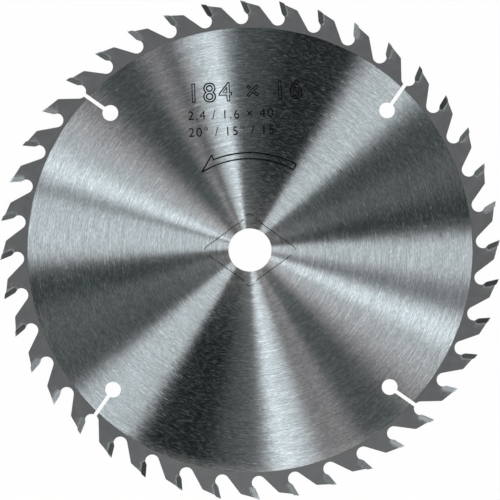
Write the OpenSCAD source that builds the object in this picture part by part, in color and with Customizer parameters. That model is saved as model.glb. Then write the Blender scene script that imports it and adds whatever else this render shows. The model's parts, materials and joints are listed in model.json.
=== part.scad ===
// Circular saw blade with carbide tips. A flat steel plate carries hooked teeth around its rim,
// each with a carbide tip brazed into a seat behind its gullet. Both faces are ground inside a
// matte rim. Four slots let the rim expand, and a diamond outline round the arbor bore can be
// knocked out. The blade lies flat on its tips:
// its axis is Z, the origin is on that axis at mid-plate, and the teeth point counter-clockwise.

/* [Blade] */
// Diameter over the points of the tips
blade_d = 184.15; // [170:0.05:200]
// Number of teeth, a multiple of four so that each slot opens into a gullet
tooth_count = 40; // [32:4:48]
// Turn of the first tooth from the X axis, in degrees
tooth_phase = 2.34; // [0:0.01:9]
// Thickness of the steel plate
plate_t = 1.6; // [1.2:0.05:1.7]
// Width of cut over the tips
kerf = 2.4; // [2.3:0.05:3.2]
// Diameter of the arbor bore
bore_d = 15.875; // [12:0.005:20]
// Width of the matte rim, from the points of the tips in to the ground disc
rim_w = 10.3; // [10.1:0.1:14]
// Depth of the ground disc below the rim, on each face
ground_depth = 0.03; // [0.01:0.01:0.06]

/* [Teeth] */
// Hook of the rake face, back from the radial line, in degrees
hook_a = 19.7; // [12:0.1:22]
// Slope of the shoulder behind the tip, down from the tangent, in degrees
shoulder_a = 17.5; // [10:0.5:20]
// Slope of the back where it runs down into the gullet, in degrees
back_a = 46; // [42:0.5:50]
// Rounding of the corner between shoulder and back
shoulder_r = 1; // [0.4:0.1:1.6]
// Depth of the gullets below the points of the tips
gullet_depth = 8.95; // [8.5:0.05:10]
// Radius of the round gullet bottom
gullet_r = 2.58; // [2.3:0.02:3]
// Set-back of the gullet's centre behind the point of its tip
gullet_back = 0.24; // [0:0.02:0.6]

/* [Carbide tips] */
// Length of a tip along its rake face
tip_l = 5.7; // [5:0.1:6]
// Thickness of a tip, square to its rake face
tip_t = 1.75; // [1.5:0.05:2.2]
// Height that a tip's back stands above the steel shoulder
tip_stand = 0.53; // [0.3:0.01:1]
// Relief of the top, down from the tangent, in degrees
relief_a = 15; // [8:0.5:18]
// Sideways bevel of the top, turned over from tooth to tooth, in degrees
bevel_a = 15; // [5:1:20]
// Side clearance towards the bottom of the tip, in degrees
radial_clear_a = 1.5; // [0.5:0.1:2]
// Side clearance towards the back of the tip, in degrees
back_clear_a = 2.5; // [1:0.1:3]
// Lower end of the rake face that is ground off, along the face
toe_l = 1.2; // [0.6:0.05:1.6]
// Depth of that ground-off toe
toe_t = 0.5; // [0.3:0.05:0.8]
// Rounding of the lower back corner
tip_r = 0.8; // [0.4:0.05:0.9]
// Chamfer of the upper back corner
tip_chamfer = 0.3; // [0.15:0.05:0.5]

/* [Braze] */
// Thickness of the braze between a tip and its seat
braze_t = 0.12; // [0.06:0.02:0.2]
// Width of the braze fillet on each face of the plate
fillet_w = 0.8; // [0.3:0.05:1]
// Clear height of the tip's side above the braze fillet
fillet_clear = 0.03; // [0.01:0.01:0.06]

/* [Expansion slots] */
// Number of slots, evenly spread
slot_count = 4; // [2, 4]
// Tooth whose gullet holds the first slot, counted from zero
slot_tooth = 5; // [0:1:7]
// Width of a slot
slot_w = 1.35; // [0.8:0.05:2]
// Length of a slot from the bottom of its gullet to the middle of its end hole
slot_l = 11.3; // [8:0.05:16]
// Diameter of the end hole
slot_hole_d = 5.85; // [4:0.01:7]
// Lean of a slot from the radial line, in degrees
slot_lean = 7.5; // [0:0.5:12]
// Set-back of a slot's middle line behind the gullet's centre
slot_back = 0.19; // [-0.3:0.01:0.5]

/* [Knockout] */
// Width of the diamond outline across its sharp side corners
knock_w = 35.5; // [34:0.1:44]
// Height of the diamond outline across its sharp upper and lower corners
knock_h = 25.8; // [25.6:0.1:32]
// Rounding of the side corners
knock_r = 1.5; // [1:0.1:2.5]
// Radius of the lobe at the upper and lower corners
lobe_r = 1.6; // [1.2:0.1:2]
// Height that a lobe rises past the sharp corner
lobe_rise = 0.3; // [0:0.05:0.6]
// Half angle of the cut round a lobe, in degrees
lobe_span = 58; // [40:1:70]
// Width of the cut line
knock_kerf = 0.25; // [0.1:0.05:0.4]
// Length of each uncut bridge
knock_bridge = 1.2; // [0.8:0.1:2]

/* [Hidden] */
$fn = 96;
blade_r = blade_d / 2;
pitch_a = 360 / tooth_count;
half_t = plate_t / 2;
// Cutting tools run this far past the surfaces that they cut
over = 1;
// The straight back of a tooth bites this far into the gullet's arc, so that the two blend
blend_bite = 0.01;
// Facets on a small rounded corner
corner_steps = 5;

seat_l = tip_l + braze_t;
seat_t = tip_t + braze_t;
seat_r = tip_r + braze_t;
// Where the top's relief line meets the back of the tip, down along the rake face
back_top = tip_t * tan(hook_a + relief_a);
gullet_centre = [gullet_back, blade_r - gullet_depth + gullet_r];
gullet_meets_back = gullet_centre + (gullet_r - blend_bite) * heading(-90 - back_a);
shoulder_start = tip_point(back_top + tip_stand, tip_t);
// Height left at the narrowest place between the tip's side and the plate's face
tip_proud = kerf / 2 - tip_l * tan(radial_clear_a) - tip_t * tan(back_clear_a) - half_t;
fillet_h = tip_proud - fillet_clear;

knock_corner = [knock_w / 2, 0];
knock_top = [0, knock_h / 2];
lobe_centre = [0, knock_h / 2 + lobe_rise - lobe_r];

function tip_name(k) = str("carbide_tip_", k < 9 ? "0" : "", k + 1);

// Points and lines in the plane of the blade
function heading(a) = [cos(a), sin(a)];
function unit(v) = v / norm(v);
function turned(p, a) = [p.x * cos(a) - p.y * sin(a), p.x * sin(a) + p.y * cos(a)];
function across(u, v) = u.x * v.y - u.y * v.x;
function crossing(p, u, q, v) = p + u * across(q - p, v) / across(u, v);

// Points of an arc about a centre
function arc(centre, r, from, to, steps) =
  [for (i = [0 : steps]) centre + r * heading(from + (to - from) * i / steps)];

// A corner at b, between a and c, as the points of an arc that touches both sides
function rounded(a, b, c, r, steps) =
  let (u = unit(a - b))
  let (v = unit(c - b))
  let (half = acos(u * v) / 2)
  let (side = sign(across(u, v)))
  let (centre = b + unit(u + v) * r / sin(half))
  let (mid = atan2(-(u + v).y, -(u + v).x))
  let (sweep = 90 - half)
  arc(centre, r, mid + side * sweep, mid - side * sweep, steps);

// A place on a tip: down along its rake face, and in behind that face
function tip_point(down, behind) =
  [0, blade_r] + down * heading(hook_a - 90) + behind * heading(hook_a);

// Moves from the blade's frame to that of one tooth, whose point is on +Y
module at_tooth(k) {
  rotate(tooth_phase - 90 + k * pitch_a)
    children();
}

// Moves from a tooth's frame to that of its tip: X runs down the rake face, Y in behind it
module at_tip() {
  translate([0, blade_r, 0])
    rotate(hook_a - 90)
      children();
}

module through_plate() {
  translate([0, 0, -half_t - over])
    linear_extrude(plate_t + 2 * over)
      children();
}

// A round corner as a quarter of a disc, set at the middle of a tip's lower back corner
module corner_quarter(r, h) {
  translate([tip_l - tip_r, tip_t - tip_r, -h / 2])
    rotate_extrude(angle = 90)
      square([r, h]);
}

// Room for a tip and its braze, in the tip's frame
module seat_space() {
  h = plate_t + 2 * over;
  linear_extrude(h, center = true)
    polygon([
      [-2 * over, toe_t],
      [seat_l, toe_t],
      [seat_l, tip_t - tip_r],
      [tip_l - tip_r, tip_t - tip_r],
      [tip_l - tip_r, seat_t],
      [-2 * over, seat_t]
    ]);
  corner_quarter(seat_r, h);
}

// What is cut away between two teeth: all above the shoulder and behind the back of the tooth
// ahead, the gullet, and the room in front of the next tip
module tooth_gap() {
  mid_tip = (toe_t + tip_t) / 2;
  above_tip = tip_point(-2 * over, mid_tip);
  behind_toe = tip_point(tip_l - toe_l / 2, mid_tip);
  next_shoulder = turned(shoulder_start, pitch_a);
  shoulder_way = heading(pitch_a - shoulder_a);
  back_way = heading(180 - back_a);
  back_corner = crossing(gullet_meets_back, back_way, next_shoulder, shoulder_way);
  past_seat = next_shoulder - shoulder_way * tip_t / 2;
  outside = unit(past_seat) * (blade_r + 2 * over);
  through_plate() {
    polygon(concat(
      [above_tip, behind_toe, gullet_centre, gullet_meets_back],
      rounded(gullet_meets_back, back_corner, past_seat, shoulder_r, corner_steps),
      [past_seat, outside]
    ));
    translate(gullet_centre)
      circle(gullet_r);
  }
}

module expansion_slot() {
  reach = gullet_r + slot_l;
  translate(gullet_centre + [slot_back, 0])
    rotate(slot_lean - 90)
      through_plate() {
        translate([0, -slot_w / 2])
          square([reach, slot_w]);
        translate([reach, 0])
          circle(d = slot_hole_d);
      }
}

// A line cut right through the plate along a path
module cut_line(path) {
  last = len(path) - 1;
  side = [for (i = [0 : last])
    turned(unit(path[min(i + 1, last)] - path[max(i - 1, 0)]), 90) * knock_kerf / 2];
  through_plate()
    polygon(concat(
      [for (i = [0 : last]) path[i] + side[i]],
      [for (i = [last : -1 : 0]) path[i] - side[i]]
    ));
}

// The diamond outline: two lobes and four sides, with uncut bridges between them
module knockout_outline() {
  side_way = unit(knock_corner - knock_top);
  below = [knock_corner.x, 0] - [side_way.x, -side_way.y];
  turn = rounded(knock_top, knock_corner, below, knock_r, 2 * corner_steps);
  lobe_end = lobe_centre + lobe_r * heading(90 - lobe_span);
  side_start = lobe_end + side_way * knock_bridge;
  on_side = crossing(side_start, turned(side_way, 90), knock_top, side_way);
  after_corner = turn[2 * corner_steps] - [side_way.x, -side_way.y] * knock_bridge;
  upper = concat([on_side], [for (i = [0 : corner_steps]) turn[i]]);
  lower = [after_corner, [on_side.x, -on_side.y]];
  for (m = [0, 1])
    mirror([m, 0, 0]) {
      cut_line(upper);
      cut_line(lower);
    }
  for (m = [0, 1])
    mirror([0, m, 0])
      cut_line(arc(lobe_centre, lobe_r, 90 - lobe_span, 90 + lobe_span, 2 * corner_steps));
}

// What the circular grind takes off one face, inside the matte rim
module ground_off() {
  translate([0, 0, half_t - ground_depth])
    cylinder(r = blade_r - rim_w, h = over);
}

module blade_plate() {
  color([0.60, 0.63, 0.64])
    difference() {
      cylinder(r = blade_r, h = plate_t, center = true);
      for (side = [0, 1])
        mirror([0, 0, side])
          ground_off();
      for (k = [0 : tooth_count - 1])
        at_tooth(k)
          tooth_gap();
      for (k = [0 : tooth_count - 1])
        at_tooth(k)
          at_tip()
            seat_space();
      for (n = [0 : slot_count - 1])
        at_tooth(slot_tooth + n * tooth_count / slot_count)
          expansion_slot();
      cylinder(d = bore_d, h = plate_t + 2 * over, center = true);
      knockout_outline();
    }
}

// Side of a tip in its own frame, with spare height above the relief line for the grind,
// and open at the lower back corner for its rounding
module tip_side() {
  relief_way = heading(90 - hook_a - relief_a);
  spare = [-over, 0];
  chamfer_low = [back_top + tip_chamfer, tip_t];
  chamfer_high = relief_way * (tip_t - tip_chamfer) / relief_way.y;
  chamfer_way = chamfer_high - chamfer_low;
  polygon([
    spare,
    [tip_l - toe_l, 0],
    [tip_l, toe_t],
    [tip_l, tip_t - tip_r],
    [tip_l - tip_r, tip_t - tip_r],
    [tip_l - tip_r, tip_t],
    chamfer_low,
    crossing(chamfer_low, chamfer_way, spare, relief_way)
  ]);
}

// One tip, ground on both sides for clearance and bevelled on top towards one side
module carbide_tip(k) {
  high_side = k % 2 == 0 ? -1 : 1;
  block = 4 * tip_l;
  blank_w = kerf + 2 * over;
  color([0.33, 0.35, 0.36])
    at_tooth(k)
      at_tip()
        difference() {
          union() {
            linear_extrude(blank_w, center = true)
              tip_side();
            corner_quarter(tip_r, blank_w);
          }
          for (side = [0, 1])
            mirror([0, 0, side])
              translate([0, 0, kerf / 2])
                rotate([-back_clear_a, radial_clear_a, 0])
                  translate([-block / 2, -block / 2, 0])
                    cube(block);
          translate([0, 0, high_side * kerf / 2])
            rotate(90 - hook_a - relief_a)
              rotate([-high_side * bevel_a, 0, 0])
                translate([-block / 2, 0, -block / 2])
                  cube(block);
        }
}

// Cross-section of the braze, out from the tip: a film between the faces of the plate,
// with a fillet that spreads on each face
module braze_section() {
  polygon([
    [0, half_t + fillet_h],
    [fillet_w, half_t],
    [braze_t, half_t],
    [braze_t, -half_t],
    [fillet_w, -half_t],
    [0, -half_t - fillet_h]
  ]);
}

// The braze of one tip: its section swept down the back, round the corner and along the bottom,
// and trimmed level with the shoulder and the gullet
module braze_joint() {
  difference() {
    at_tip() {
      translate([0, tip_t, 0])
        rotate([90, 0, 90])
          linear_extrude(tip_l - tip_r)
            braze_section();
      translate([tip_l - tip_r, tip_t - tip_r, 0])
        rotate_extrude(angle = 90)
          translate([tip_r, 0])
            braze_section();
      translate([tip_l, tip_t - tip_r, 0])
        rotate([90, 0, 0])
          linear_extrude(tip_t - tip_r - toe_t)
            braze_section();
    }
    rotate(-pitch_a)
      tooth_gap();
    translate(gullet_centre)
      through_plate()
        circle(gullet_r);
  }
}

module braze() {
  color([0.70, 0.70, 0.67])
    for (k = [0 : tooth_count - 1])
      at_tooth(k)
        braze_joint();
}

blade_plate();
braze();
for (k = [0 : tooth_count - 1])
  carbide_tip(k);
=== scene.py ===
# %% [markdown]
# A carbide tipped saw blade, lying on a pale table.
# The steel plate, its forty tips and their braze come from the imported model, already in place and
# in metres. This lesson gives every surface its finish, grows the braze beads and the print, and
# lights the whole so that the circular grind shows its bright and dark rays.

# %% Load the frame
import json
import math

import bmesh
import bpy
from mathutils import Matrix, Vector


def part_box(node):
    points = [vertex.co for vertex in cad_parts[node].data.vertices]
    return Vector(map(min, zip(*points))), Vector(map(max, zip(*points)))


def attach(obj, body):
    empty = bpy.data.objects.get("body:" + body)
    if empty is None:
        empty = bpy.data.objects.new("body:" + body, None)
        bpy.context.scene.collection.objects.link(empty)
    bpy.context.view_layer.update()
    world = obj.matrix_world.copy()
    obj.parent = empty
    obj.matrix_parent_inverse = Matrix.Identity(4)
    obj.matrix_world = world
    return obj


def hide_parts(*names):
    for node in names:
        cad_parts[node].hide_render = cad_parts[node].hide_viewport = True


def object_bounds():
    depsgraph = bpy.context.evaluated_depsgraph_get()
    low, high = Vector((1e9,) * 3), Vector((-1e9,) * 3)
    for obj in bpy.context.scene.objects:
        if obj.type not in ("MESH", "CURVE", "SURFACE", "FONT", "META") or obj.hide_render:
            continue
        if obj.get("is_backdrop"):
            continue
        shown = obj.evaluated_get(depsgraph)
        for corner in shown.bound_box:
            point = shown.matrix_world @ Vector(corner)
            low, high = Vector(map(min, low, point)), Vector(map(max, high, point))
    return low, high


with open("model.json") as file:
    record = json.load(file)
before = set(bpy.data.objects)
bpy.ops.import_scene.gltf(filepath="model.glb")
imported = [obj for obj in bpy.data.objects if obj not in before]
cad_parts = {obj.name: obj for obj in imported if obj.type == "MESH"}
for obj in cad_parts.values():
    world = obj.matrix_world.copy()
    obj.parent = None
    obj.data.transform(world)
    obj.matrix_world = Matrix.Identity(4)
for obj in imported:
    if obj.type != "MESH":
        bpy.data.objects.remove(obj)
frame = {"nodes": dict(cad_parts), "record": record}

MM = 0.001
cad_low, cad_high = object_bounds()
print("CAD box in mm:", [round((b - a) / MM, 2) for a, b in zip(cad_low, cad_high)])

# %% [markdown]
# The finishes need a few sizes that the frame already holds: the height of the ground face, the
# radius of the bore, and the radius where the grind stops. The first two are stated with the
# mounts. The last is read off the plate's own mesh, as the farthest corner on the ground face,
# so that the finish always ends at the step that the grinding wheel left.

# %% Sizes from the frame
mounts = {m["name"]: m for m in frame["record"]["mounts"]}
face_z = mounts["flange_face_front"]["pos_m"][2]
bore_r = mounts["arbor_bore"]["dims"]["r_mm"] * MM
plate = frame["nodes"]["blade_plate"]
SAME_HEIGHT = 0.002 * MM
ground_r = max(
    math.hypot(v.co.x, v.co.y)
    for v in plate.data.vertices
    if abs(v.co.z - face_z) < SAME_HEIGHT
)
rim_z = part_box("blade_plate")[1].z
blade_r = max(math.hypot(v.co.x, v.co.y) for v in frame["nodes"]["carbide_tip_01"].data.vertices)
tip_names = sorted(n for n in frame["nodes"] if n.startswith("carbide_tip_"))
print("ground face at", round(face_z / MM, 3), "mm, out to", round(ground_r / MM, 2), "mm;",
      "points at", round(blade_r / MM, 3), "mm on", len(tip_names), "tips")

# %% [markdown]
# Every finish is a small tree of nodes, and most of them need the same few moves: add a node,
# fill or link its inputs, do a sum. Short helpers keep each finish readable. The same helpers
# serve the geometry trees further down, because both kinds of tree share these nodes.

# %% Helpers for node trees
def node(tree, kind, inputs=None, **settings):
    """Adds a node, sets its properties, and fills or links its inputs."""
    made = tree.nodes.new(kind)
    for name, value in settings.items():
        setattr(made, name, value)
    for key, value in (inputs or {}).items():
        if isinstance(value, bpy.types.NodeSocket):
            tree.links.new(value, made.inputs[key])
        else:
            made.inputs[key].default_value = value
    return made


def sums(tree, operation, *values):
    return node(tree, "ShaderNodeMath", dict(enumerate(values)), operation=operation).outputs[0]


def times(tree, socket, factor):
    return sums(tree, "MULTIPLY", socket, factor)


def vector(tree, operation, *values):
    made = node(tree, "ShaderNodeVectorMath", dict(enumerate(values)), operation=operation)
    return made.outputs["Value" if operation in ("LENGTH", "DOT_PRODUCT") else "Vector"]


def scaled(tree, direction, amount):
    made = node(tree, "ShaderNodeVectorMath", {0: direction, "Scale": amount}, operation="SCALE")
    return made.outputs["Vector"]


def spread(tree, value, low, high, to_low=0.0, to_high=1.0, smooth=True):
    """Turns the range low to high into to_low to to_high, clamped."""
    kind = "SMOOTHSTEP" if smooth else "LINEAR"
    return node(
        tree,
        "ShaderNodeMapRange",
        {"Value": value, "From Min": low, "From Max": high, "To Min": to_low, "To Max": to_high},
        interpolation_type=kind,
    ).outputs["Result"]


def noise(tree, place, scale, detail=2.0, roughness=0.5):
    made = node(
        tree,
        "ShaderNodeTexNoise",
        {"Vector": place, "Scale": scale, "Detail": detail, "Roughness": roughness},
    )
    return made.outputs[0]


def blend(tree, share, first, second):
    """A colour between two colours or sockets."""
    made = node(tree, "ShaderNodeMix", data_type="RGBA")
    for key, value in ((0, share), (6, first), (7, second)):
        if isinstance(value, bpy.types.NodeSocket):
            tree.links.new(value, made.inputs[key])
        else:
            made.inputs[key].default_value = value
    return made.outputs[2]


def grey(level, tint=(1.0, 1.0, 1.0)):
    return (*[level * t for t in tint], 1.0)


def new_material(name):
    material = bpy.data.materials.new(name)
    material.use_nodes = True
    material.node_tree.nodes.clear()
    return material, material.node_tree


def show(tree, shader):
    node(tree, "ShaderNodeOutputMaterial", {"Surface": shader})


def mixed(tree, share, first, second):
    return node(tree, "ShaderNodeMixShader", {0: share, 1: first, 2: second}).outputs[0]


def metal(tree, colour, roughness, normal=None):
    inputs = {"Base Color": colour, "Metallic": 1.0, "Roughness": roughness}
    if normal is not None:
        inputs["Normal"] = normal
    return node(tree, "ShaderNodeBsdfPrincipled", inputs).outputs[0]


def bumps(tree, height, depth):
    made = node(tree, "ShaderNodeBump", {"Height": height, "Strength": 1.0, "Distance": depth})
    return made.outputs["Normal"]


def wear(material, piece):
    """Gives a piece one material only."""
    piece.data.materials.clear()
    piece.data.materials.append(material)


print("node helpers are ready")

# %% [markdown]
# The plate was ground with a wheel that left fine circular grooves. Light that falls along a
# groove is mirrored sharply, and light that falls across it is smeared wide, so each point shows
# what stands along its own radius: that gives the rays. A Principled shader would do, but its
# long-tailed spread blurs the rays' edges. A Glossy shader with a Beckmann spread takes one
# roughness along the grooves and one across them, and keeps the edges crisp. Its tangent runs
# round the axis, so the rays turn with the blade and not with the camera. The wheel left the
# flanks that face outwards a little longer, so the normal leans out too, and each ray belongs to
# the side of the studio that it points at. The rings of the grind aren't quite concentric: towards
# the hub their middle drifts about a millimetre off the axis, and the rays drift with it.

# %% Circles round the axis
AXIS, IN_PLANE = (0.0, 0.0, 1.0), (1.0, 1.0, 0.0)
RING_DRIFT = (-0.68 * MM, 0.77 * MM, 0.0)


def polar(tree):
    """Place, its part in the plane of the blade, distance from the axis, and the way outwards."""
    place = node(tree, "ShaderNodeTexCoord").outputs["Object"]
    flat = vector(tree, "MULTIPLY", place, IN_PLANE)
    radius = vector(tree, "LENGTH", flat)
    outward = vector(tree, "NORMALIZE", flat)
    return place, flat, radius, outward


def rings(tree, flat, radius):
    """Place and radius on the rings of the grind, and the directions across and along them."""
    share = spread(tree, radius, 0.0, ground_r, 1.0, 0.0, smooth=False)
    ring_flat = vector(tree, "SUBTRACT", flat, scaled(tree, RING_DRIFT, share))
    outward = vector(tree, "NORMALIZE", ring_flat)
    around = vector(tree, "CROSS_PRODUCT", AXIS, outward)
    return ring_flat, vector(tree, "LENGTH", ring_flat), outward, around


def groove_place(tree, flat, radius, length, width):
    """A place for noise whose grains are drawn out along circles, without a seam."""
    up = node(tree, "ShaderNodeCombineXYZ", {"Z": sums(tree, "DIVIDE", radius, width)})
    return vector(tree, "ADD", scaled(tree, flat, 1.0 / length), up.outputs["Vector"])


print("the rings drift by up to", round(math.hypot(*RING_DRIFT) / MM, 2), "mm")

# %% Ground steel
STEEL_TINT, STEEL_DARK, STEEL_LIT = (0.90, 1.0, 1.04), 0.33, 0.72
LIT_FROM, LIT_TO, LIT_POWER = 0.75, 1.33, 1.5
NOISE_LOW, NOISE_HIGH = 0.25, 0.75
ALONG_GROOVES = 0.018
ACROSS_GROOVES = 0.45
GROOVE_BEND = math.radians(0.4)
GROOVE_LEAN = math.tan(math.radians(9.0))
GROOVE_LENGTH, GROOVE_WIDTH = 1.3 * MM, 0.18 * MM
STREAK_LENGTH, STREAK_WIDTH = 7.0 * MM, 0.18 * MM
WANDER_LENGTH, WANDER_WIDTH = 8.0 * MM, 0.6 * MM
TORN_LENGTH, TORN_WIDTH = 2.0 * MM, 0.17 * MM
TORN_FROM, TORN_TO, TORN_SHARE = 0.47, 0.83, 0.26
TORN_TINT, TORN_LEVEL, TORN_ROUGHNESS = (0.83, 1.0, 1.01), 0.80, 0.6
STRAY_LENGTH, STRAY_WIDTH = 3.0 * MM, 0.30 * MM
STRAY_FROM, STRAY_TO, STRAY_POWER = 0.2, 0.8, 3.0
STRAY_BEND = math.radians(6.0)
ROUGH_SHARE, ROUGH_TINT = 0.15, (1.02, 1.0, 0.99)


def groove_noise(tree, flat, radius, length, width, detail=1.0, roughness=0.5):
    place = groove_place(tree, flat, radius, length, width)
    return noise(tree, place, 1.0, detail, roughness)


def ground_finish(tree, flat, radius, outward, around, rough):
    """Shiny grooves that bend a little and stray, with a share of torn, dull metal."""
    short = groove_noise(tree, flat, radius, GROOVE_LENGTH, GROOVE_WIDTH)
    streak = groove_noise(tree, flat, radius, STREAK_LENGTH, STREAK_WIDTH)
    wander = groove_noise(tree, flat, radius, WANDER_LENGTH, WANDER_WIDTH, 2.0, 0.6)
    torn = groove_noise(tree, flat, radius, TORN_LENGTH, TORN_WIDTH, 2.0, 0.6)
    bend = spread(tree, wander, NOISE_LOW, NOISE_HIGH, -GROOVE_BEND, GROOVE_BEND, smooth=False)
    stray = groove_noise(tree, flat, radius, STRAY_LENGTH, STRAY_WIDTH)
    stray = spread(tree, stray, STRAY_FROM, STRAY_TO, -1.0, 1.0, smooth=False)
    stray = times(tree, sums(tree, "POWER", stray, STRAY_POWER), STRAY_BEND)
    along = vector(tree, "ADD", around, scaled(tree, outward, sums(tree, "ADD", bend, stray)))
    lit = spread(tree, sums(tree, "ADD", short, streak), LIT_FROM, LIT_TO, smooth=False)
    lit = sums(tree, "POWER", lit, LIT_POWER)
    upright = node(tree, "ShaderNodeNewGeometry").outputs["Normal"]
    leaning = vector(tree, "ADD", upright, scaled(tree, outward, GROOVE_LEAN))
    shiny = node(
        tree,
        "ShaderNodeBsdfAnisotropic",
        {
            "Color": blend(tree, lit, grey(STEEL_DARK, STEEL_TINT), grey(STEEL_LIT, STEEL_TINT)),
            "Roughness": (ALONG_GROOVES * ACROSS_GROOVES) ** 0.25,
            "Anisotropy": 1.0 - math.sqrt(ALONG_GROOVES / ACROSS_GROOVES),
            "Normal": vector(tree, "NORMALIZE", leaning),
            "Tangent": along,
        },
        distribution="BECKMANN",
    ).outputs[0]
    torn_share = spread(tree, torn, TORN_FROM, TORN_TO, 0.0, TORN_SHARE)
    torn_wide = spread(tree, torn, NOISE_LOW, NOISE_HIGH, 0.5 * ROUGH_SHARE, 1.5 * ROUGH_SHARE)
    torn_share = sums(tree, "MULTIPLY_ADD", torn_wide, rough, torn_share)
    torn_colour = blend(tree, rough, grey(TORN_LEVEL, TORN_TINT), grey(TORN_LEVEL, ROUGH_TINT))
    return mixed(tree, torn_share, shiny, metal(tree, torn_colour, TORN_ROUGHNESS))


print("grooves of", GROOVE_WIDTH / MM, "mm, bent by up to",
      round(math.degrees(GROOVE_BEND), 1), "degrees")

# %% [markdown]
# Some marks belong to a tooth and not to the whole blade: the grinding lines on a tip, and the pale
# smudges that flux leaves on the plate behind it. Forty teeth could be painted one by one. Here
# every place is turned back to one tooth that stands above the axis instead. Its depth down the
# rake face and its distance behind it are then two plain dot products.

# %% Places on a tooth
HOOK = math.radians(19.7)
FIRST_TOOTH = math.radians(2.34)
PITCH = math.tau / len(tip_names)


def tooth_place(tree, flat):
    """The number of the tooth that a place is on, and how far down and behind its rake face."""
    parts = node(tree, "ShaderNodeSeparateXYZ", {0: flat})
    azimuth = sums(tree, "ARCTAN2", parts.outputs["Y"], parts.outputs["X"])
    tooth = sums(tree, "DIVIDE", sums(tree, "SUBTRACT", azimuth, FIRST_TOOTH), PITCH)
    tooth = sums(tree, "CEIL", tooth)
    turn = sums(tree, "MULTIPLY_ADD", tooth, -PITCH, math.pi / 2 - FIRST_TOOTH)
    turned = node(
        tree,
        "ShaderNodeVectorRotate",
        {"Vector": flat, "Angle": turn},
        rotation_type="Z_AXIS",
    ).outputs[0]
    from_point = vector(tree, "SUBTRACT", turned, (0.0, blade_r, 0.0))
    down = vector(tree, "DOT_PRODUCT", from_point, (math.sin(HOOK), -math.cos(HOOK), 0.0))
    behind = vector(tree, "DOT_PRODUCT", from_point, (math.cos(HOOK), math.sin(HOOK), 0.0))
    return tooth, down, behind


print("teeth every", math.degrees(PITCH), "degrees, hook", round(math.degrees(HOOK), 1), "degrees")

# %% [markdown]
# Outside the grind the rim keeps its matte, blasted skin. It is a rough metal with a faint grain,
# and with pale smudges behind the tips, where flux was brushed off after brazing. Along the lower
# side the wheel ran shallow, and the edge of the grind is torn there. On that side the rim's skin
# is also painted paler, as painted light. The grind is rougher round the hub as well, where the
# steel ran slowest under the wheel.
# The walls of the gullets, slots and bore were cut, not ground, so they carry fine upright lines.
# The narrow knockout round the bore was cut by laser, and its walls are nearly black: partly the
# laser's burn, partly painted shade of the narrow cut. One material holds all of these: the radius
# says where the grind stops and where the knockout lies, and a face whose normal lies flat is a
# wall.

# %% Rim and cut walls
# The last pale is shared by the flux stains and the painted light on the shallow side.
RIM_TINT, RIM_DARK, RIM_PALE, PALE_STAIN_AND_LIGHT = (0.96, 1.0, 1.02), 0.150, 0.245, 0.40
RIM_GRAINS, RIM_STAINS = 2200.0, 300.0
GRAIN_SHARE, STAIN_SHARE = 0.4, 0.6
RIM_ROUGHNESS, GRAIN_DEPTH = 0.62, 0.004 * MM
RIM_BLUR = 0.05 * MM
WALL_LINES = (3000.0, 3000.0, 250.0)
WALL_DARK, WALL_PALE, BURNT_SHADE_DARK, BURNT_SHADE_PALE = 0.10, 0.30, 0.004, 0.012
WALL_ROUGHNESS, WALL_DEPTH = 0.5, 0.01 * MM
WALL_SLOPE = 0.5
KNOCKOUT_FROM, KNOCKOUT_TO = 1.25 * bore_r, 0.4 * ground_r
FLUX_NEAR, FLUX_FAR = 2.4 * MM, 4.6 * MM
FLUX_PATCHES, FLUX_SHARE = 700.0, 0.6
FLUX_THIN, FLUX_FULL = 0.38, 0.68
SHALLOW_SIDE, SHALLOW_REACH = math.radians(274.0), math.radians(45.0)
SHALLOW_WIDTH = 4.2 * MM
# Painted light: how much paler the rim is painted on the shallow side.
SHALLOW_SIDE_PAINTED_LIGHT = 0.17
HUB_ROUGH_TO, HUB_ROUGH_POWER = 45.0 * MM, 2.0


def shallow_side(tree, outward):
    """One in the middle of the side where the wheel ran shallow, none outside it."""
    middle = (math.cos(SHALLOW_SIDE), math.sin(SHALLOW_SIDE), 0.0)
    facing = vector(tree, "DOT_PRODUCT", outward, middle)
    return spread(tree, facing, math.cos(SHALLOW_REACH), 1.0)


def smudges(tree, place, flat):
    """How much flux shows: most close behind a tip, none at the root of the tooth."""
    down, behind = tooth_place(tree, flat)[1:]
    near_back = spread(tree, behind, FLUX_NEAR, FLUX_FAR, 1.0, 0.0)
    near_point = spread(tree, down, FLUX_NEAR, 2.0 * FLUX_FAR, 1.0, 0.0)
    patch = spread(tree, noise(tree, place, FLUX_PATCHES, 3.0, 0.6), FLUX_THIN, FLUX_FULL)
    return times(tree, times(tree, near_back, near_point), times(tree, patch, FLUX_SHARE))


def matte_finish(tree, place, flat, shallow):
    grain = noise(tree, place, RIM_GRAINS, 2.0)
    stain = noise(tree, place, RIM_STAINS, 2.0)
    tone = sums(tree, "MULTIPLY_ADD", stain, STAIN_SHARE, times(tree, grain, GRAIN_SHARE))
    colour = blend(tree, tone, grey(RIM_DARK, RIM_TINT), grey(RIM_PALE, RIM_TINT))
    # Painted light on the shallow side, and the real flux stains behind the tips.
    stain_and_painted_light = times(tree, shallow, SHALLOW_SIDE_PAINTED_LIGHT)
    stain_and_painted_light = sums(tree, "MAXIMUM", stain_and_painted_light, smudges(tree, place, flat))
    colour = blend(tree, stain_and_painted_light, colour, grey(PALE_STAIN_AND_LIGHT, RIM_TINT))
    return metal(tree, colour, RIM_ROUGHNESS, bumps(tree, grain, GRAIN_DEPTH))


def in_knockout(tree, radius):
    past_bore = sums(tree, "GREATER_THAN", radius, KNOCKOUT_FROM)
    return times(tree, past_bore, sums(tree, "LESS_THAN", radius, KNOCKOUT_TO))


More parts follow.
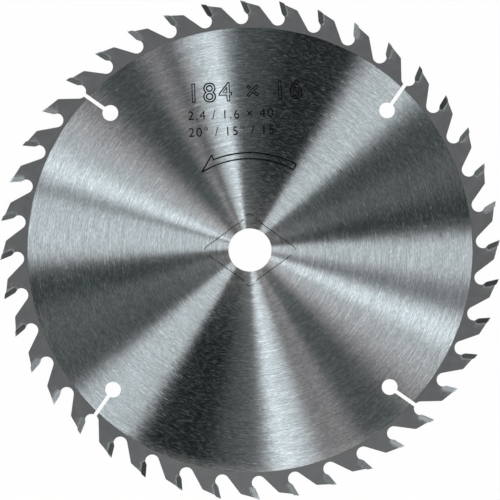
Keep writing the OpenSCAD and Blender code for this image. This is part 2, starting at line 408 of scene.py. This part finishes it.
def cut_wall_finish(tree, place, radius):
    lines = noise(tree, vector(tree, "MULTIPLY", place, WALL_LINES), 1.0, 2.0)
    clean = blend(tree, lines, grey(WALL_DARK), grey(WALL_PALE))
    # Nearly black walls in the knockout: the laser's burn and painted shade of the narrow cut.
    burnt_and_painted_shade = blend(tree, lines, grey(BURNT_SHADE_DARK), grey(BURNT_SHADE_PALE))
    colour = blend(tree, in_knockout(tree, radius), clean, burnt_and_painted_shade)
    return metal(tree, colour, WALL_ROUGHNESS, bumps(tree, lines, WALL_DEPTH))


plate_material, tree = new_material("ground_plate")
place, flat, radius, outward = polar(tree)
true_normal = node(tree, "ShaderNodeNewGeometry").outputs["True Normal"]
facing_up = node(tree, "ShaderNodeSeparateXYZ", {0: true_normal}).outputs["Z"]
is_wall = sums(tree, "LESS_THAN", sums(tree, "ABSOLUTE", facing_up), WALL_SLOPE)
shallow = shallow_side(tree, outward)
near_rim = spread(tree, radius, ground_r - SHALLOW_WIDTH, ground_r)
on_rim = spread(tree, radius, ground_r - RIM_BLUR, ground_r + RIM_BLUR)
near_hub = spread(tree, radius, bore_r, HUB_ROUGH_TO, 1.0, 0.0, smooth=False)
near_hub = sums(tree, "POWER", near_hub, HUB_ROUGH_POWER)
rough = sums(tree, "MAXIMUM", near_hub, times(tree, shallow, near_rim))
ground = ground_finish(tree, *rings(tree, flat, radius), rough)
face = mixed(tree, on_rim, ground, matte_finish(tree, place, flat, shallow))
show(tree, mixed(tree, is_wall, face, cut_wall_finish(tree, place, radius)))
wear(plate_material, plate)
print("plate finish:", len(tree.nodes), "nodes")

# %% [markdown]
# The tips are sintered carbide, ground on all sides after brazing, and the lines of the grind run
# down each tip. Each was ground on its own, so neighbours catch the light differently: some look
# nearly black, some pale. That light is painted into their colour. Forty materials would be a
# nuisance, so six levels of painted light are made by one function, and each tip gets one by its
# number.

# %% Carbide tips
# Painted light: each level is how bright a tip shows, set into its colour.
TIP_PAINTED_LIGHT = {
    "black": 0.092,
    "dark": 0.148,
    "middle": 0.250,
    "pale": 0.355,
    "light": 0.485,
    "bright": 0.660,
}
TIPS_BY_PAINTED_LIGHT = {
    "black": (5, 12, 28, 39, 40),
    "dark": (1, 6, 9, 10, 11, 21, 22, 23, 27, 29, 38),
    "pale": (14, 26, 33, 34),
    "light": (2, 8, 17, 24, 32),
    "bright": (19, 25, 31, 35, 36, 37),
}
CARBIDE_TINT, CARBIDE_ROUGHNESS = (0.91, 1.0, 1.03), 0.5
GRIND_LENGTH, GRIND_WIDTH, GRIND_DEPTH = 4.0 * MM, 0.30 * MM, 0.003 * MM
GRIND_DARK, GRIND_PALE = 0.80, 1.20
NEXT_TIP = 5.7


def carbide_with_painted_light(name, level):
    material, tree = new_material("carbide_" + name)
    place, flat = polar(tree)[:2]
    tooth, down, behind = tooth_place(tree, flat)
    height = node(tree, "ShaderNodeSeparateXYZ", {0: place}).outputs["Z"]
    aside = sums(tree, "ADD", behind, height)
    lines_place = node(
        tree,
        "ShaderNodeCombineXYZ",
        {
            "X": sums(tree, "DIVIDE", down, GRIND_LENGTH),
            "Y": sums(tree, "DIVIDE", aside, GRIND_WIDTH),
            "Z": times(tree, tooth, NEXT_TIP),
        },
    ).outputs[0]
    lines = noise(tree, lines_place, 1.0, 2.0)
    lines = spread(tree, lines, NOISE_LOW, NOISE_HIGH, smooth=False)
    dark, pale = (grey(share * level, CARBIDE_TINT) for share in (GRIND_DARK, GRIND_PALE))
    colour = blend(tree, lines, dark, pale)
    show(tree, metal(tree, colour, CARBIDE_ROUGHNESS, bumps(tree, lines, GRIND_DEPTH)))
    return material


# Lit and shaded copies of one carbide material, one for each level of painted light.
tips_lit_and_shaded = {name: carbide_with_painted_light(name, level) for name, level in TIP_PAINTED_LIGHT.items()}
painted_light_of = {number: name for name, numbers in TIPS_BY_PAINTED_LIGHT.items() for number in numbers}
for number, name in enumerate(tip_names, start=1):
    wear(tips_lit_and_shaded[painted_light_of.get(number, "middle")], frame["nodes"][name])
print(len(tip_names), "tips in", len(tips_lit_and_shaded), "shades")

# %% [markdown]
# Geometry Nodes grow what repeats. Both trees below, the braze and the print, are built in the
# same steps: an interface with a named input for each size, the nodes, and a plain mesh kept at
# the end. The inputs are set by their identifiers, because names may repeat.

# %% Helpers for geometry trees
SHARP_ANGLE = math.radians(40)
DOUBLES = 0.0001 * MM
SOCKETS = {int: "NodeSocketInt", float: "NodeSocketFloat", str: "NodeSocketString"}


def new_geometry_tree(name, sizes):
    """A tree with a geometry in and out, and a named input for each size."""
    tree = bpy.data.node_groups.new(name, "GeometryNodeTree")
    tree.interface.new_socket("Geometry", in_out="INPUT", socket_type="NodeSocketGeometry")
    for label, value in sizes.items():
        tree.interface.new_socket(label, in_out="INPUT", socket_type=SOCKETS[type(value)])
    tree.interface.new_socket("Geometry", in_out="OUTPUT", socket_type="NodeSocketGeometry")
    return tree, node(tree, "NodeGroupInput").outputs


def end_tree(tree, geometry, material):
    """Joins what was made, realizes it, gives it its material and ends the tree."""
    joined = node(tree, "GeometryNodeJoinGeometry")
    for part in geometry:
        tree.links.new(part, joined.inputs[0])
    real = node(tree, "GeometryNodeRealizeInstances", {"Geometry": joined.outputs[0]}).outputs[0]
    dressed = node(tree, "GeometryNodeSetMaterial", {"Geometry": real, "Material": material})
    node(tree, "NodeGroupOutput", {0: dressed.outputs[0]})


def moved(tree, geometry, how, value):
    made = node(tree, "GeometryNodeTransform", {"Geometry": geometry, how: value})
    return made.outputs[0]


def clean_faces(mesh):
    """Merges doubles, turns all faces outwards, and shades smooth but for sharp edges."""
    shape = bmesh.new()
    shape.from_mesh(mesh)
    bmesh.ops.remove_doubles(shape, verts=shape.verts, dist=DOUBLES)
    bmesh.ops.recalc_face_normals(shape, faces=shape.faces)
    shape.to_mesh(mesh)
    shape.free()
    mesh.shade_smooth()
    mesh.set_sharp_from_angle(angle=SHARP_ANGLE)


def grown(name, points, edges, tree, sizes):
    """Runs a tree on a few points and edges, and keeps the result as a plain mesh."""
    seed = bpy.data.meshes.new(name + "_seed")
    seed.from_pydata([(x, y, 0.0) for x, y in points], edges, [])
    piece = bpy.data.objects.new(name, seed)
    bpy.context.scene.collection.objects.link(piece)
    modifier = piece.modifiers.new(name, "NODES")
    modifier.node_group = tree
    for item in tree.interface.items_tree:
        if item.in_out == "INPUT" and item.name in sizes:
            modifier[item.identifier] = sizes[item.name]
    depsgraph = bpy.context.evaluated_depsgraph_get()
    mesh = bpy.data.meshes.new_from_object(piece.evaluated_get(depsgraph))
    piece.modifiers.remove(modifier)
    piece.data = mesh
    mesh.name = name
    bpy.data.meshes.remove(seed)
    clean_faces(mesh)
    print(name, "has", len(mesh.polygons), "faces")
    return piece


# %% [markdown]
# Each tip sits in a seat, and silver braze fills the joint: a thin film between the two, and a
# bead with a hollow flank that creeps out on each face of the plate. Modelled by hand it would be
# forty times the same work. Here three points give the way down the back of one tip, round its
# lower corner and along its bottom. The tree rounds the corner, repeats the way round the blade,
# and sweeps two sections along it. A section's own X and Y point to the tip and into the plate, so
# its corners are negative. Noise at each place makes the bead run wide and narrow, as melted metal
# does, and it dies out at the edges of the plate.

# %% Braze beads
RELIEF = math.radians(15.0)
TIP_LENGTH, TIP_THICKNESS, TIP_STAND, TOE_DEPTH = 5.7 * MM, 1.75 * MM, 0.53 * MM, 0.62 * MM
BRAZE_SIZES = {
    "Teeth": len(tip_names),
    "First tooth": FIRST_TOOTH - math.pi / 2,
    "Corner radius": 0.8 * MM,
    "Film": 0.12 * MM,
    "Half plate": rim_z,
    "Bead width": 0.9 * MM,
    "Bead height": 0.14 * MM,
    "Unevenness": 0.45,
    "Upper fade": 1.2 * MM,
    "Lower fade": 0.6 * MM,
    "Step": 0.2 * MM,
}
LUMP = 0.9 * MM
CORNER_STEPS = 6
FILM_SHARE = 0.99
HOLLOW_WIDTH, HOLLOW_HEIGHT = 0.4, 0.35
ACROSS_BEAD = "across_bead"
BRAZE_TINT, BRAZE_ROUGHNESS = (0.93, 1.0, 1.02), 0.55
BLOTCHES, BLOTCH_DEPTH = 1500.0, 0.01 * MM
BLOTCH_FROM, BLOTCH_TO, BLOTCH_DARK, BLOTCH_PALE = 0.3, 0.7, 0.8, 1.2
# Braze colour across the bead, with a painted highlight on the hollow flank, dimmer at the edge.
BEAD_COLOUR_AND_HIGHLIGHT = ((0.0, 0.29), (0.3, 0.32), (0.55, 0.33), (0.8, 0.25), (1.0, 0.20))


def on_tip(down, behind):
    """A place on the side of a tip whose point is straight above the axis."""
    x = down * math.sin(HOOK) + behind * math.cos(HOOK)
    y = blade_r - down * math.cos(HOOK) + behind * math.sin(HOOK)
    return x, y


braze_material, tree = new_material("braze_alloy")
place = node(tree, "ShaderNodeTexCoord").outputs["Object"]
blotch = noise(tree, place, BLOTCHES, 3.0)
across = node(tree, "ShaderNodeAttribute", attribute_name=ACROSS_BEAD).outputs["Fac"]
# Painted highlight: the colour follows the place across the bead.
colour_and_highlight = node(tree, "ShaderNodeValToRGB", {0: across})
stops = colour_and_highlight.color_ramp.elements
for number, (position, tone) in enumerate(BEAD_COLOUR_AND_HIGHLIGHT):
    stop = stops[number] if number < 2 else stops.new(position)
    stop.position = position
    stop.color = grey(tone, BRAZE_TINT)
uneven = spread(tree, blotch, BLOTCH_FROM, BLOTCH_TO, BLOTCH_DARK, BLOTCH_PALE, smooth=False)
colour = scaled(tree, colour_and_highlight.outputs["Color"], uneven)
show(tree, metal(tree, colour, BRAZE_ROUGHNESS, bumps(tree, blotch, BLOTCH_DEPTH)))

tree, given = new_geometry_tree("braze_beads", BRAZE_SIZES)
way = node(tree, "GeometryNodeMeshToCurve", {"Mesh": given["Geometry"]}).outputs[0]
way = node(
    tree,
    "GeometryNodeFilletCurve",
    {"Curve": way, "Count": CORNER_STEPS, "Radius": given["Corner radius"]},
    mode="POLY",
).outputs[0]
way = node(
    tree, "GeometryNodeResampleCurve", {"Curve": way, "Length": given["Step"]}, mode="LENGTH"
).outputs[0]
count = given["Teeth"]
index = node(tree, "GeometryNodeInputIndex").outputs[0]
turn = sums(tree, "DIVIDE", sums(tree, "MULTIPLY", index, math.tau), count)
turn = sums(tree, "ADD", turn, given["First tooth"])
euler = node(tree, "ShaderNodeCombineXYZ", {"Z": turn}).outputs[0]
spots = node(tree, "GeometryNodePoints", {"Count": count}).outputs[0]
ways = node(
    tree,
    "GeometryNodeInstanceOnPoints",
    {
        "Points": spots,
        "Instance": way,
        "Rotation": node(tree, "FunctionNodeEulerToRotation", {0: euler}).outputs[0],
    },
).outputs[0]
ways = node(tree, "GeometryNodeRealizeInstances", {"Geometry": ways}).outputs[0]
ways = node(tree, "GeometryNodeSetCurveNormal", {"Curve": ways}, mode="Z_UP").outputs[0]


def section(tree, *corners):
    """A closed outline through four corners, each a pair of numbers or sockets."""
    points = {}
    for number, (x, y) in enumerate(corners, start=1):
        points["Point %d" % number] = node(tree, "ShaderNodeCombineXYZ", {0: x, 1: y}).outputs[0]
    made = node(tree, "GeometryNodeCurvePrimitiveQuadrilateral", points, mode="POINTS")
    return made.outputs[0]


def swept(tree, curve, outline, scale=1.0):
    return node(
        tree,
        "GeometryNodeCurveToMesh",
        {"Curve": curve, "Profile Curve": outline, "Scale": scale, "Fill Caps": True},
    ).outputs[0]


half = given["Half plate"]
to_plate = times(tree, given["Film"], -1.0)
above, below = (times(tree, half, side * FILM_SHARE) for side in (1.0, -1.0))
film = section(tree, (0.0, above), (to_plate, above), (to_plate, below), (0.0, below))
wide, high = (times(tree, given[size], -1.0) for size in ("Bead width", "Bead height"))
bead = section(
    tree,
    (0.0, 0.0),
    (wide, 0.0),
    (times(tree, wide, HOLLOW_WIDTH), times(tree, high, HOLLOW_HEIGHT)),
    (0.0, high),
)
corner_place = node(tree, "GeometryNodeInputPosition").outputs[0]
away = node(tree, "ShaderNodeSeparateXYZ", {0: corner_place}).outputs["X"]
bead = node(
    tree,
    "GeometryNodeStoreNamedAttribute",
    {"Geometry": bead, "Name": ACROSS_BEAD, "Value": sums(tree, "DIVIDE", away, wide)},
    data_type="FLOAT",
    domain="POINT",
).outputs[0]
run = node(tree, "GeometryNodeSplineParameter").outputs["Length"]
left = sums(tree, "SUBTRACT", node(tree, "GeometryNodeSplineLength").outputs["Length"], run)
upper_fade = spread(tree, run, 0.0, given["Upper fade"])
lower_fade = spread(tree, left, 0.0, given["Lower fade"])
fade = times(tree, upper_fade, lower_fade)
lumps = noise(tree, node(tree, "GeometryNodeInputPosition").outputs[0], 1.0 / LUMP, 1.0)
uneven = sums(tree, "MULTIPLY_ADD", sums(tree, "SUBTRACT", lumps, 0.5), given["Unevenness"], 1.0)
beads = swept(tree, ways, bead, times(tree, fade, uneven))
lift = node(tree, "ShaderNodeCombineXYZ", {"Z": half}).outputs[0]
front = moved(tree, beads, "Translation", lift)
back = moved(tree, front, "Scale", (1.0, 1.0, -1.0))
end_tree(tree, (swept(tree, ways, film), front, back), braze_material)

shoulder = TIP_THICKNESS * math.tan(HOOK + RELIEF) + TIP_STAND
seat_way = (
    on_tip(shoulder, TIP_THICKNESS),
    on_tip(TIP_LENGTH, TIP_THICKNESS),
    on_tip(TIP_LENGTH, TOE_DEPTH),
)
beads = grown("braze_beads", seat_way, [(0, 1), (1, 2)], tree, BRAZE_SIZES)
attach(beads, "root")
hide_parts("braze")

# %% [markdown]
# The print is thin dark ink on the ground face: a curved arrow that says which way the blade
# turns, and plain numbers for its diameter, bore, cut, plate, teeth and angles. Text and arrow
# could be curves, but ink has a thickness, and only meshes are exported. So a second tree takes
# the arrow's outline and the numbers as inputs, sweeps a flat stroke along the outlined ones, and
# fills and thickens the small ones.

# %% Shape of the arrow
ARROW_INNER, ARROW_OUTER, ARROW_BARB = 33.6 * MM, 35.8 * MM, 37.6 * MM
ARROW_START, ARROW_NECK, ARROW_POINT = (math.radians(a) for a in (61.6, 112.0, 121.9))
ARROW_STEPS = 40
STRAIGHT_STEPS = 12


def round_axis(radius, angle):
    return radius * math.cos(angle), radius * math.sin(angle)


def arc(radius, start, end):
    step = (end - start) / ARROW_STEPS
    return [round_axis(radius, start + step * i) for i in range(ARROW_STEPS + 1)]


def straight(start, end):
    """Points between two corners, so that the stroke keeps its width between them."""
    shares = [i / STRAIGHT_STEPS for i in range(1, STRAIGHT_STEPS)]
    return [tuple(a + (b - a) * share for a, b in zip(start, end)) for share in shares]


outer_arc = arc(ARROW_OUTER, ARROW_START, ARROW_NECK)
barb = round_axis(ARROW_BARB, ARROW_NECK)
inner_arc = arc(ARROW_INNER, ARROW_POINT, ARROW_START)
arrow = [
    *outer_arc,
    *straight(outer_arc[-1], barb),
    barb,
    *straight(barb, inner_arc[0]),
    *inner_arc,
    *straight(inner_arc[-1], outer_arc[0]),
]
arrow_edges = [(i, (i + 1) % len(arrow)) for i in range(len(arrow))]
print("arrow outline of", len(arrow), "points")

# %% Ink
PRINT_SIZES = {
    "Line width": 0.50 * MM,
    "Ink thickness": 0.012 * MM,
    "Face height": face_z,
    "Left edge": -21.0 * MM,
    "Turn": math.radians(2.2),
    "Large numbers": "184 × 16",
    "Large size": 9.8 * MM,
    "Large height": 58.0 * MM,
    "Upper numbers": "2.4 / 1.6 × 40",
    "Upper height": 50.0 * MM,
    "Lower numbers": "20° / 15° / 15°",
    "Lower height": 43.8 * MM,
    "Small size": 4.7 * MM,
    "Spacing": 1.2,
}
INK_DARK, INK_PALE, INK_SPECKLES = 0.003, 0.006, 5000.0
INK_ROUGHNESS, INK_SHINE = 0.5, 0.05
ink_material, tree = new_material("print_ink")
place = node(tree, "ShaderNodeTexCoord").outputs["Object"]
speckle = noise(tree, place, INK_SPECKLES, 2.0)
ink_shader = node(
    tree,
    "ShaderNodeBsdfPrincipled",
    {
        "Base Color": blend(tree, speckle, grey(INK_DARK), grey(INK_PALE)),
        "Roughness": INK_ROUGHNESS,
        "Specular IOR Level": INK_SHINE,
    },
)
show(tree, ink_shader.outputs[0])

tree, given = new_geometry_tree("printed_marks", PRINT_SIZES)
thick = given["Ink thickness"]
stroke = node(
    tree,
    "GeometryNodeCurvePrimitiveQuadrilateral",
    {"Width": given["Line width"], "Height": thick},
).outputs[0]


def inked_line(tree, curve, stroke):
    flat_curve = node(tree, "GeometryNodeSetCurveNormal", {"Curve": curve}, mode="Z_UP").outputs[0]
    return swept(tree, flat_curve, stroke)


def number_curves(tree, given, row, size):
    """The outlines of a row of numbers, set at its height and turned a little round the axis."""
    letters = node(
        tree,
        "GeometryNodeStringToCurves",
        {
            "String": given[row + " numbers"],
            "Size": given[size + " size"],
            "Character Spacing": given["Spacing"],
        },
        align_x="LEFT",
        align_y="MIDDLE",
    ).outputs[0]
    corner = {0: given["Left edge"], 1: given[row + " height"]}
    spot = node(tree, "ShaderNodeCombineXYZ", corner).outputs[0]
    placed = moved(tree, letters, "Translation", spot)
    euler = node(tree, "ShaderNodeCombineXYZ", {2: given["Turn"]}).outputs[0]
    turn = node(tree, "FunctionNodeEulerToRotation", {0: euler}).outputs[0]
    turned = moved(tree, placed, "Rotation", turn)
    return node(tree, "GeometryNodeRealizeInstances", {"Geometry": turned}).outputs[0]


arrow_curve = node(tree, "GeometryNodeMeshToCurve", {"Mesh": given["Geometry"]}).outputs[0]
large = number_curves(tree, given, "Large", "Large")
small = node(tree, "GeometryNodeJoinGeometry")
for row in ("Upper", "Lower"):
    tree.links.new(number_curves(tree, given, row, "Small"), small.inputs[0])
lines = (inked_line(tree, arrow_curve, stroke), inked_line(tree, large, stroke))
filled = node(
    tree, "GeometryNodeFillCurve", {"Curve": small.outputs[0]}, mode="TRIANGLES"
).outputs[0]
rise = node(tree, "ShaderNodeCombineXYZ", {"Z": thick}).outputs[0]
solid = node(
    tree,
    "GeometryNodeExtrudeMesh",
    {"Mesh": filled, "Offset": rise, "Offset Scale": 1.0, "Individual": False},
    mode="FACES",
).outputs[0]
low_side = node(tree, "GeometryNodeFlipFaces", {"Mesh": filled}).outputs[0]


def raised(tree, geometry, height):
    lift = node(tree, "ShaderNodeCombineXYZ", {"Z": height}).outputs[0]
    return moved(tree, geometry, "Translation", lift)


middle_height = sums(tree, "ADD", given["Face height"], times(tree, thick, 0.5))
marks = [raised(tree, line, middle_height) for line in lines]
marks += [raised(tree, part, given["Face height"]) for part in (solid, low_side)]
end_tree(tree, marks, ink_material)
marks = grown("printed_marks", arrow, arrow_edges, tree, PRINT_SIZES)
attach(marks, "root")

# %% [markdown]
# The blade lies on a white table. To the camera, and in reflections, the table glows at white, so
# that it reads as plain paper, while a share of plain diffuse white keeps the blade's shadow. Under
# the hub the table's material has a painted shadow: a nearly black ring that does not glow. The
# blade hides it, and it keeps the fine knockout cuts dark.

# %% Floor
FLOOR_SIZE = 8.0
FLOOR_GLOW = 0.97
PAPER_LEVEL, HUB_PAINTED_SHADOW_LEVEL = 0.92, 0.01
floor_mesh = bpy.data.meshes.new("floor")
edge = FLOOR_SIZE / 2
floor_mesh.from_pydata(
    [(x, y, cad_low.z) for x, y in ((-edge, -edge), (edge, -edge), (edge, edge), (-edge, edge))],
    [],
    [(0, 1, 2, 3)],
)
floor = bpy.data.objects.new("floor", floor_mesh)
bpy.context.scene.collection.objects.link(floor)
floor_material, tree = new_material("floor")
path = node(tree, "ShaderNodeLightPath")
seen = sums(tree, "MAXIMUM", path.outputs["Is Camera Ray"], path.outputs["Is Glossy Ray"])
seen = sums(tree, "MAXIMUM", seen, path.outputs["Is Transmission Ray"])
radius = polar(tree)[2]
# Painted shadow: under the hub the table is nearly black and gets no glow.
hub_painted_shadow = in_knockout(tree, radius)
glowing = sums(tree, "MULTIPLY", seen, sums(tree, "SUBTRACT", 1.0, hub_painted_shadow))
paper_and_painted_shadow = blend(tree, hub_painted_shadow, grey(PAPER_LEVEL), grey(HUB_PAINTED_SHADOW_LEVEL))
diffuse = node(tree, "ShaderNodeBsdfDiffuse", {"Color": paper_and_painted_shadow}).outputs[0]
glow = node(tree, "ShaderNodeEmission", {"Color": grey(1.0), "Strength": 1.0}).outputs[0]
show(tree, mixed(tree, sums(tree, "MULTIPLY", glowing, FLOOR_GLOW), diffuse, glow))
floor_mesh.materials.append(floor_material)
floor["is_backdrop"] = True
print("floor at", round(cad_low.z / MM, 2), "mm")

# %% [markdown]
# The rays on the steel are pictures of the studio. Soft panels stand round the table, one row on
# its far side and one on its near side. Lamps would do, but their sizes and strengths interact. A
# world that depends on the compass bearing alone gives each panel its place in degrees and the
# brightness that the steel should show there. A row below holds the bearings of a panel's two ends
# and the brightness at each, and a row whose ends are the same is a single turning point. The light
# runs evenly from one row to the next. The panels' soft edges are warmer than their
# middles, and the gaps between them are cooler, as with flash heads in white tents. A dim ceiling
# and a dim horizon keep the steel dark between the panels.

# %% Studio panels
FAR_PANELS = (
    (3.3, 3.3, 0.47, 0.47),
    (6.0, 13.0, 0.042, 0.024),
    (17.0, 25.0, 0.076, 0.084),
    (30.0, 41.2, 0.044, 0.056),
    (43.2, 58.2, 0.47, 0.43),
    (60.2, 79.0, 0.016, 0.012),
    (83.0, 96.8, 0.028, 0.064),
    (99.8, 100.5, 0.86, 0.83),
    (102.1, 106.3, 0.54, 0.48),
    (110.6, 113.8, 0.075, 0.014),
    (114.9, 118.3, 0.21, 0.15),
    (122.0, 131.0, 0.046, 0.050),
    (136.5, 147.5, 0.15, 0.40),
    (151.2, 151.2, 0.40, 0.40),
    (155.5, 160.0, 0.71, 0.70),
    (161.4, 164.2, 0.12, 0.12),
    (165.6, 180.0, 0.61, 0.47),
)
NEAR_PANELS = (
    (0.0, 1.6, 0.46, 0.46),
    (4.3, 13.0, 0.066, 0.040),
    (17.0, 25.0, 0.084, 0.082),
    (30.0, 37.8, 0.070, 0.070),
    (40.6, 56.6, 0.50, 0.45),
    (58.6, 77.0, 0.014, 0.012),
    (81.0, 93.7, 0.048, 0.120),
    (97.6, 98.6, 0.86, 0.83),
    (100.7, 105.0, 0.61, 0.57),
    (109.5, 118.5, 0.175, 0.185),
    (122.0, 132.0, 0.070, 0.062),
    (136.5, 146.0, 0.15, 0.39),
    (149.0, 152.2, 0.37, 0.37),
    (155.5, 161.0, 0.69, 0.67),
    (164.7, 169.2, 0.07, 0.07),
    (174.0, 180.0, 0.45, 0.46),
)
PANEL_TINTS = (
    (0.02, (0.85, 1.0, 0.97)),
    (0.08, (1.03, 1.0, 0.985)),
    (0.17, (1.165, 1.0, 0.995)),
    (0.30, (1.09, 1.0, 0.99)),
    (0.46, (1.0, 1.0, 1.0)),
    (0.66, (0.98, 1.0, 1.015)),
)
STEEL_SHARE = 0.159
STEEL_BASE = 0.012
ZENITH_LEVEL = 0.0
HORIZON_LEVEL = 0.4
BAND_LOW, BAND_HIGH = (math.cos(math.radians(tilt)) for tilt in (66, 30))
BAND_EDGE = 0.04
HALF_TURN = 180.0


def panel_light(shown):
    """Strength of a panel that the ground steel shows at this brightness."""
    return max(shown - STEEL_BASE, 0.0) / STEEL_SHARE


world = bpy.data.worlds.new("studio")
bpy.context.scene.world = world
world.use_nodes = True
tree = world.node_tree
tree.nodes.clear()
way = node(tree, "ShaderNodeTexCoord").outputs["Generated"]
parts = node(tree, "ShaderNodeSeparateXYZ", {0: way})
azimuth = sums(tree, "ARCTAN2", parts.outputs["Y"], parts.outputs["X"])
half_turn = sums(tree, "FRACT", sums(tree, "DIVIDE", azimuth, math.pi))
brightest = max(panel_light(level) for panel in FAR_PANELS + NEAR_PANELS for level in panel[2:])


def panel_ramp(tree, bearing, panels):
    """The light of one half of the studio, against the bearing from 0 to 1."""
    ramp = node(tree, "ShaderNodeValToRGB", {0: bearing})
    stops = ramp.color_ramp.elements
    while len(stops) > 1:
        stops.remove(stops[0])
    stops[0].position = 1.0
    stops[0].color = grey(panel_light(panels[-1][3]) / brightest)
    for start, end, first_level, last_level in panels:
        for degrees, level in {start: first_level, end: last_level}.items():
            if degrees < HALF_TURN:
                stops.new(degrees / HALF_TURN).color = grey(panel_light(level) / brightest)
    return ramp.outputs["Color"]


far_side = sums(tree, "GREATER_THAN", azimuth, 0.0)
far_light = panel_ramp(tree, half_turn, FAR_PANELS)
near_light = panel_ramp(tree, half_turn, NEAR_PANELS)
ring = blend(tree, far_side, near_light, far_light)
tints = node(tree, "ShaderNodeValToRGB", {0: ring})
stops = tints.color_ramp.elements
stops.remove(stops[0])
for number, (level, tint) in enumerate(PANEL_TINTS):
    stop = stops[0] if number == 0 else stops.new(1.0)
    stop.position = panel_light(level) / brightest
    stop.color = (*tint, 1.0)
ring = scaled(tree, vector(tree, "MULTIPLY", ring, tints.outputs["Color"]), brightest)
up = parts.outputs["Z"]
above_low = spread(tree, up, BAND_LOW - BAND_EDGE, BAND_LOW + BAND_EDGE)
above_high = spread(tree, up, BAND_HIGH - BAND_EDGE, BAND_HIGH + BAND_EDGE)
low_part = blend(tree, above_low, grey(HORIZON_LEVEL), ring)
light = blend(tree, above_high, low_part, grey(ZENITH_LEVEL))
background = node(tree, "ShaderNodeBackground", {"Color": light, "Strength": 1.0})
node(tree, "ShaderNodeOutputWorld", {"Surface": background.outputs[0]})
print(len(FAR_PANELS) + len(NEAR_PANELS), "panels, brightest", round(brightest, 2))

# %% [markdown]
# The camera looks straight down from well above, so that the walls of the gullets hardly show. The
# lens is worked out from the width that the picture spans at the height of the rim.

# %% Camera
CAMERA_HEIGHT = 1.2
VIEW_WIDTH = 183.82 * MM
SENSOR_WIDTH = 36.0
camera_data = bpy.data.cameras.new("camera")
camera_data.sensor_width = SENSOR_WIDTH
camera_data.lens = SENSOR_WIDTH * (CAMERA_HEIGHT - rim_z) / VIEW_WIDTH
camera = bpy.data.objects.new("camera", camera_data)
camera.location = (0.0, 0.0, CAMERA_HEIGHT)
bpy.context.scene.collection.objects.link(camera)
bpy.context.scene.camera = camera
bpy.context.scene.view_settings.view_transform = "Standard"
print("lens", round(camera_data.lens, 1), "mm")

# %% Sizes
low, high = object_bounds()
